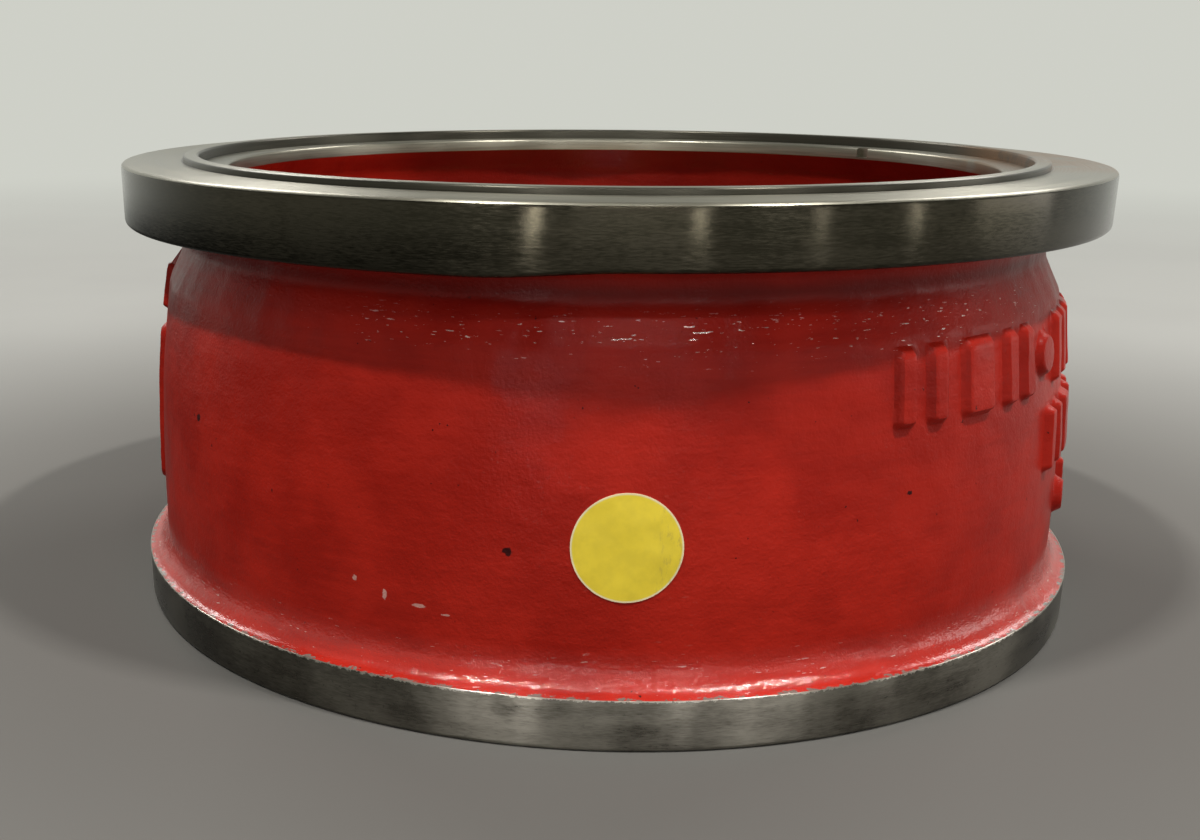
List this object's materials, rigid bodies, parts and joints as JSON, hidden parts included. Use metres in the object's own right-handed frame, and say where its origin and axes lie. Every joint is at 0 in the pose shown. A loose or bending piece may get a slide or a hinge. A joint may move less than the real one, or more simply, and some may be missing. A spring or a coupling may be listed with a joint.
{
  "type": "wafer non-return valve",
  "caption": "Wafer non-return valve for pipe flanges: a short round casting with a spring-closed disc that lifts on a stem guided at both ends.",
  "frame": {"origin": "centre of the inlet face, on the axis of the bore", "axes": "+Z along the bore axis, from the inlet to the outlet; +X through one arm of each guide"},
  "size_m": [0.2794, 0.2794, 0.125],
  "materials": {
    "body": "gloss red enamel on sand-cast iron, with bare machined rims and faces",
    "stainless": "turned stainless steel",
    "bronze": "cast bronze, dull",
    "bushing": "turned bearing bronze",
    "rubber": "black moulded rubber",
    "spring_wire": "drawn stainless wire",
    "screws": "plain stainless fasteners"
  },
  "bodies": {
    "casing": {"body_casting": "body", "seat_ring": "stainless", "seat_o_ring": "rubber", "seat_screws": "screws", "inlet_guide": "bronze", "inlet_guide_screws": "screws", "lower_bushing": "bushing", "spring": "spring_wire", "outlet_guide": "bronze", "upper_bushing": "bushing", "guide_screws": "screws", "guide_washers": "screws"},
    "spring_follower": {"thrust_washer": "stainless"},
    "disc_assembly": {"disc": "bronze", "disc_seal": "rubber", "seal_retainer": "stainless", "retainer_screws": "screws", "stem": "stainless", "stem_o_ring": "rubber", "stem_nut": "screws", "tab_washer": "screws"}
  },
  "joints": [
    {"name": "disc_lift", "type": "slide", "parent": "casing", "child": "spring_follower", "axis": [0, 0, 1], "range_m": [0, 0.03], "stiffness_N_per_m": 3000, "springref_m": -0.025, "deforming": ["spring"]},
    {"name": "disc_turn", "type": "hinge", "parent": "spring_follower", "child": "disc_assembly", "pos_m": [0, 0, 0.045], "axis": [0, 0, 1], "continuous": true}
  ]
}
